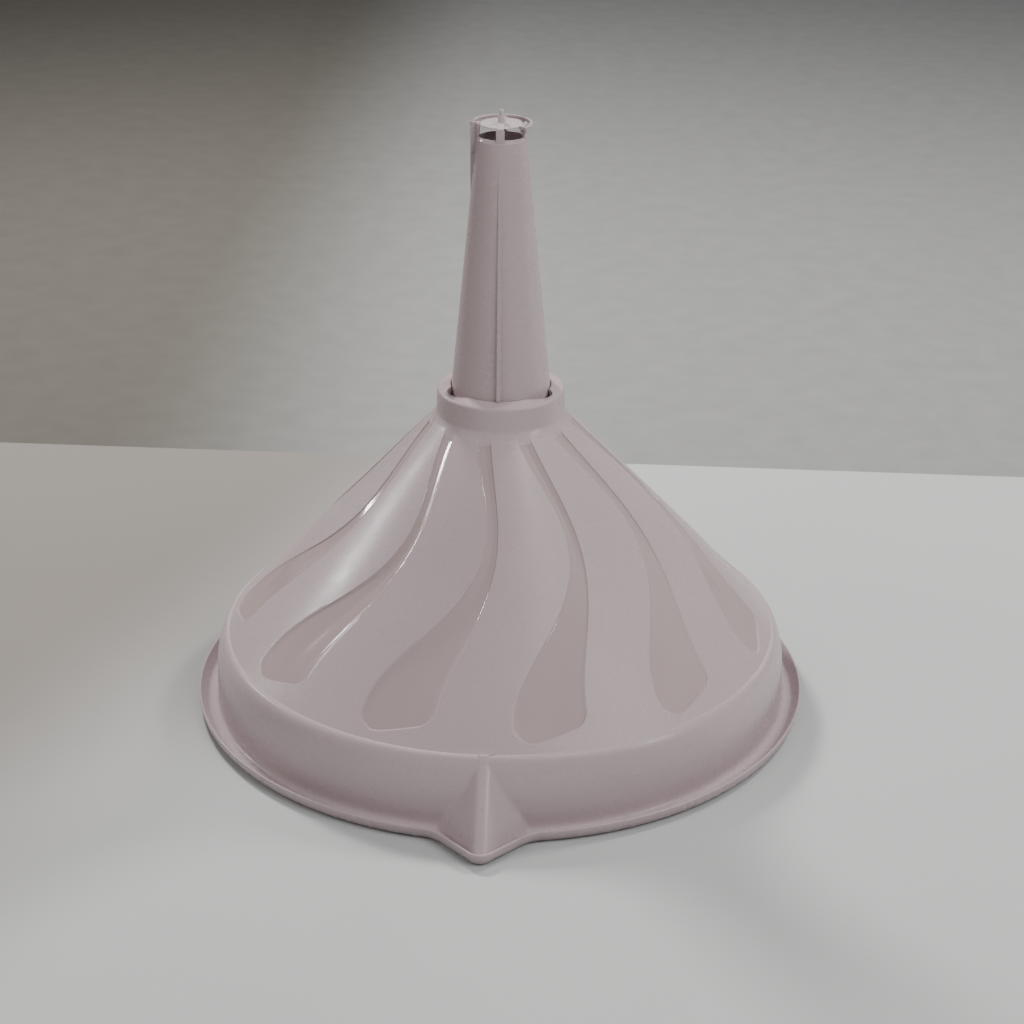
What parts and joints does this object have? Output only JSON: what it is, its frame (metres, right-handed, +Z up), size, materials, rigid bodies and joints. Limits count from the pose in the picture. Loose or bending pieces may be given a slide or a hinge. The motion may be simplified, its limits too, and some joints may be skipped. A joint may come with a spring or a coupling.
{
  "type": "household funnel",
  "caption": "Large plastic funnel standing on its rim, with a swirled cone, a pouring lip, a plug-in ribbed spout and a small cap over the spout's tip.",
  "frame": {"origin": "on the plane the rim stands on, in the middle of the overall box", "axes": "+Z up along the funnel's axis from the mouth to the spout, -Y towards the pouring lip"},
  "size_m": [0.25, 0.2655, 0.2464],
  "materials": {
    "bowl_plastic": "glossy",
    "spout_plastic": "glossy",
    "cap_plastic": "glossy"
  },
  "bodies": {
    "bowl": {"funnel_bowl": "bowl_plastic"},
    "spout_body": {"spout": "spout_plastic"},
    "cap_body": {"tip_cap": "cap_plastic"}
  },
  "joints": [
    {"name": "spout_pull", "type": "slide", "parent": "bowl", "child": "spout_body", "axis": [0, 0, 1], "range_m": [0, 0.02]},
    {"name": "cap_lift", "type": "slide", "parent": "spout_body", "child": "cap_body", "axis": [0, 0, 1], "range_m": [0, 0.01]}
  ]
}
